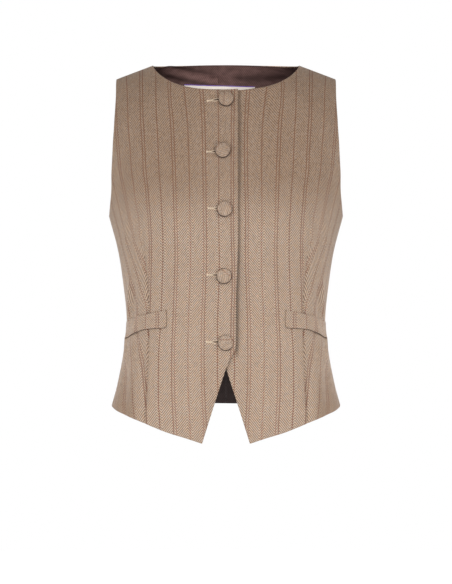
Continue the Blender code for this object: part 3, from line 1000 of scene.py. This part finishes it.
share, low = np.meshgrid(np.linspace(0, 1, LABEL_COLUMNS + 1), shares(LABEL_ROWS, LABEL_DEPTH, True, True))
label_out, label_top = (start + (end - start) * share for start, end in (LABEL_ENDS, LABEL_TOPS))
label_drop = label_top + LABEL_DEPTH * low
turn = turn_at(np.abs(label_out), label_drop, True)
down = way_down(label_out, label_drop)
inside = BACK_WALL + LINING_EASE + LINING_WALL + LABEL_EASE
points, facing = form(turn, down), outward(turn, down)
face, reverse = (points - facing * depth for depth in (inside, inside + LABEL_WALL))
for rows in (face, reverse):
    rows[..., 0] *= np.where(label_out >= 0, 1, -1)
label_cut = np.stack((label_out, LABEL_DEPTH * low), -1) * MM
label = cloth("neck_label_tape", face, reverse, label_cut, (label_finish("label_tape"),))
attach(label, "root")
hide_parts("neck_label")

# --------------------------- The buttons
# Five domed metal shells covered in scraps of the suiting, each scrap laid its own way, sewn to the front
# that laps under and put through the buttonholes of the other one.

BUTTON_EASE = 0.6
BUTTON_STEPS = 48
# The real back plate is made dark and a little wider than the cover, so its rim shows round the button as
# painted shade for the shadow ring there
# The back plate, up to the height at which its rim ends, and the domed cover above it
BUTTON_PROFILE = (
    (0.0, 0.0), (9.4, 0.0), (10.0, 0.25), (10.3, 0.7), (10.15, 1.1), (9.5, 1.2), (9.75, 1.7), (9.85, 2.3),
    (9.6, 2.9), (9.0, 3.4), (7.9, 3.9), (6.3, 4.35), (4.2, 4.75), (2.1, 4.95), (0.0, 5.0),
)
BUTTON_RIM_HEIGHT = 1.18
# Drop, sideways offset, turn of the scrap in degrees, where its stripe lies, and how far the plate sags to
# show more of its dark rim below the cover as painted shade
BUTTONS = (
    (51.8, 0.1, 4, 10.6, 0.45),
    (121.6, -4.4, 35, 16.0, 0.45),
    (199.8, -1.9, -20, 17.5, 0.45),
    (288.2, -2.7, -49, 2.5, 1.1),
    (377.8, -0.4, 90, 12.0, 0.45),
)
SHADOW_PLATE_DARK = (0.035, 0.022, 0.017, 1.0)
SHADOW_PLATE_LIGHT = (0.090, 0.060, 0.046, 1.0)


def mottled(name, scale, dark, light, **constants):
    """A plain finish with small uneven spots between two colours."""
    finish = Finish(name, **constants)
    inputs = {"Vector": finish.on_object(), "Scale": scale, "Detail": 1.0}
    spots = finish.node("ShaderNodeTexNoise", None, inputs)
    finish.set("Base Color", finish.mixed(spots, dark, light))
    return finish.material


def seated(out, drop, lift):
    """Where a small thing sits on the wearer's right front, and how it stands there."""
    turn, down = turn_at(np.array(out), np.array(drop)), way_down(out, drop)
    facing = Vector(outward(turn, down))
    seat = Vector(form(turn, down)) + facing * lift
    seat.x *= -1
    facing.x *= -1
    return seat, facing.to_track_quat("Z", "Y").to_matrix()


button_scrap = suiting_finish("button_scrap", scrap=True)
shadow_plate = mottled("button_plate_shadow", 900.0, SHADOW_PLATE_DARK, SHADOW_PLATE_LIGHT, Roughness=0.5, Specular_IOR_Level=0.3)


def button(name, drop, offset, tilt, stripe, sag):
    shape = bmesh.new()
    verts = [shape.verts.new((radius, 0.0, height)) for radius, height in BUTTON_PROFILE]
    edges = [shape.edges.new(pair) for pair in zip(verts, verts[1:])]
    bmesh.ops.spin(shape, geom=verts + edges, axis=(0, 0, 1), angle=math.tau, steps=BUTTON_STEPS,
                   use_merge=True)
    bmesh.ops.remove_doubles(shape, verts=shape.verts[:], dist=0.001)
    bmesh.ops.recalc_face_normals(shape, faces=shape.faces[:])
    layer = shape.loops.layers.uv.new("cut")
    lay = Matrix.Rotation(math.radians(tilt), 2)
    for part in shape.faces:
        part.smooth = True
        part.material_index = int(part.calc_center_median().z < BUTTON_RIM_HEIGHT)
        for loop in part.loops:
            place = lay @ loop.vert.co.xy
            loop[layer].uv = ((place.x + stripe) * MM, (place.y + drop) * MM)
    seat, stand = seated(-offset, drop, BUTTON_EASE)
    for vert in shape.verts:
        vert.co.y -= sag * (vert.co.z < BUTTON_RIM_HEIGHT)
        vert.co = (seat + stand @ vert.co) * MM
    if shape.calc_volume(signed=True) < 0:
        bmesh.ops.reverse_faces(shape, faces=shape.faces[:])
    made = as_object(name, shape, (button_scrap, shadow_plate))
    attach(made, "root")
    return made


for number, row in enumerate(BUTTONS, start=1):
    covered = button(f"button_{number}_cover", *row)
    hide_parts(f"button_{number}")

# ----------------------- The buttonholes
# Five straight buttonholes worked in ecru thread: stitches side by side round a slit, and a bar at the end
# away from the edge.

HOLE_LENGTH = 25.0
HOLE_HALF = 1.45
# The two rows of stitches run close together at the bar's end, and spread over a span
HOLE_CLOSE = 0.40
HOLE_SPREADS = (6.0, 4.0)
STITCH_PITCH = 0.62
STITCH_RADIUS = 0.34
STITCH_LENGTH = 1.1
STITCH_LIFT = 0.12
STITCH_UNEVEN = 0.10
BAR_STITCHES = 4
BAR_START = -0.2
BAR_PITCH = 0.3
BAR_LENGTH = 2.9
BAR_LIFT = 0.2
# The slit, a dark sheet of painted shade in the opening: its middle along the hole, its length, width and
# thickness, and its lift
SLIT_MIDDLE = 16.0
SLIT_SIZE = (18.0, 1.7, 0.6)
SLIT_LIFT = -0.05
# Drop and distance out of the end with the bar, and the rise over the hole's length
HOLES = ((54.5, 25.1, 3.0), (123.4, 25.7, 0.5), (199.3, 23.7, 0.3), (286.9, 25.4, -1.0), (376.9, 26.1, 0.4))
THREAD_DARK = (0.70, 0.52, 0.35, 1.0)
THREAD_LIGHT = (1.0, 0.88, 0.70, 1.0)
SLIT_DARK = (0.050, 0.034, 0.026, 1.0)
SLIT_LIGHT = (0.150, 0.105, 0.080, 1.0)

thread = mottled("ecru_thread", 1400.0, THREAD_DARK, THREAD_LIGHT, Roughness=0.5, Sheen_Weight=0.2,
                 Specular_IOR_Level=0.4)
slit_shade_sheet = mottled("slit_shade", 1100.0, SLIT_DARK, SLIT_LIGHT, Roughness=0.9, Specular_IOR_Level=0.1)


def stitches(drop):
    """Each stitch of a buttonhole: its place along and beside the hole, its size, and its lift."""
    thick = 2 * STITCH_RADIUS
    for k in range(round(HOLE_LENGTH / STITCH_PITCH) + 1):
        along = k * STITCH_PITCH
        apart = HOLE_HALF * (HOLE_CLOSE + (1 - HOLE_CLOSE) * float(passed(along, *HOLE_SPREADS)))
        uneven = STITCH_UNEVEN * math.sin(k * 2.4 + drop)
        for half in (-1, 1):
            size = (thick, STITCH_LENGTH * (1 + uneven * half), thick)
            yield along, half * apart + uneven * 0.6, size, STITCH_LIFT
    for k in range(BAR_STITCHES):
        yield BAR_START + k * BAR_PITCH, 0.0, (thick, BAR_LENGTH, thick), BAR_LIFT


def buttonhole(name, drop, bar_out, rise):
    shape = bmesh.new()
    for along, beside, size, lift in [(SLIT_MIDDLE, 0.0, SLIT_SIZE, SLIT_LIFT), *stitches(drop)]:
        out = bar_out - along
        level = drop - rise * along / HOLE_LENGTH + beside
        lift = lift + float(folds(LAP_RIPPLES + FRONT_FOLDS, np.array(out), level))
        seat, stand = seated(out, level, lift)
        ends = bmesh.ops.create_uvsphere(shape, u_segments=8, v_segments=5, radius=0.5)["verts"]
        bmesh.ops.scale(shape, vec=size, verts=ends)
        for vert in ends:
            vert.co = (seat + stand @ vert.co) * MM
        if size is SLIT_SIZE:
            for part in shape.faces:
                part.material_index = 1
    for part in shape.faces:
        part.smooth = True
    made = as_object(name, shape, (thread, slit_shade_sheet))
    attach(made, "root")
    return made


for number, row in enumerate(HOLES, start=1):
    buttonhole(f"buttonhole_{number}", *row)

# ---------------------------- The studio
# A camera level with the waistcoat's middle, a white room round it, and soft lamps that stand in pairs: in
# front and low, behind the sides for a rim of light, behind the back, and at the neck to light its inside.

EYE_WAY = 3.6
EYE = (0.0, -EYE_WAY, -0.310)
PICTURE_ROWS = 584
ROW_HEIGHT = 0.00137
SENSOR = 36.0
FLOOR_LEVEL = -1.45
WHITE = (1.0, 1.0, 1.0, 1.0)
# Name, place and aim of the right one, watts of the left and the right one, radius or sides, and half the
# beam's spread in degrees
LAMPS = (
    ("beam", (1.527, -1.282, 0.630), (0.0, 0.0, -0.62), (49.0, 49.0), 0.30, 22.0),
    ("low", (1.0, -1.3, -0.95), (0.0, 0.0, -0.35), (7.1, 7.1), (0.4, 0.4), None),
    ("rim", (1.685, 1.414, -0.370), (0.136, 0.0, -0.370), (75.0, 75.0), 0.1, 2.5),
    ("back", (1.0, 1.9, 0.25), (0.0, 0.0, -0.22), (26.0, 26.0), 0.3, 15.0),
    ("neck", (0.045, -1.80, 0.694), (0.045, 0.08, 0.01), (300.0, 230.0), 0.03, 2.2),
)

camera_data = bpy.data.cameras.new("camera")
camera_data.lens = SENSOR * EYE_WAY / (PICTURE_ROWS * ROW_HEIGHT)
camera_data.sensor_width = SENSOR
camera = bpy.data.objects.new("camera", camera_data)
camera.location = EYE
camera.rotation_euler = (math.pi / 2, 0.0, 0.0)
bpy.context.scene.collection.objects.link(camera)
bpy.context.scene.camera = camera

room = bmesh.new()
bmesh.ops.create_uvsphere(room, u_segments=48, v_segments=24, radius=9.0)
bmesh.ops.reverse_faces(room, faces=room.faces[:])
paper = Finish("white_paper", Roughness=1.0, Base_Color=BLACK, Emission_Strength=1.0, Emission_Color=WHITE,
               Specular_IOR_Level=0.0)
backdrop = as_object("backdrop", room, (paper.material,))
backdrop.visible_diffuse = backdrop.visible_glossy = backdrop.visible_shadow = False
boards = bmesh.new()
bmesh.ops.create_circle(boards, cap_ends=True, radius=8.0, segments=64)
bmesh.ops.translate(boards, vec=(0, 0, FLOOR_LEVEL), verts=boards.verts[:])
floor_paint = Finish("pale_floor", Roughness=0.9, Base_Color=(0.80, 0.80, 0.80, 1.0), Emission_Strength=0.85,
                     Emission_Color=WHITE, Specular_IOR_Level=0.1)
floor = as_object("floor", boards, (floor_paint.material,))
floor.visible_diffuse = floor.visible_glossy = False

world = bpy.data.worlds.new("studio_air")
world.use_nodes = True
air = world.node_tree.nodes["Background"].inputs
air["Color"].default_value = WHITE
air["Strength"].default_value = 0.43
bpy.context.scene.world = world


def lamp(name, place, aim, power, size, half_angle):
    """A soft box of a size, or a round lamp whose beam spreads to a half angle."""
    data = bpy.data.lights.new(name, "SPOT" if half_angle else "AREA")
    if half_angle:
        data.shadow_soft_size = size
        data.spot_size = math.radians(2 * half_angle)
        data.spot_blend = 1.0
    else:
        data.shape = "RECTANGLE"
        data.size, data.size_y = size
    data.energy = power
    made = bpy.data.objects.new(name, data)
    made.location = place
    made.rotation_euler = (Vector(aim) - Vector(place)).to_track_quat("-Z", "Y").to_euler()
    bpy.context.scene.collection.objects.link(made)


for place_in_pair, (word, side) in enumerate((("left", -1), ("right", 1))):
    for kind, (x, y, z), (aim_x, aim_y, aim_z), watts, size, half_angle in LAMPS:
        lamp(f"{word}_{kind}", (x * side, y, z), (aim_x * side, aim_y, aim_z), watts[place_in_pair], size,
             half_angle)
bpy.context.scene.view_settings.view_transform = "Standard"
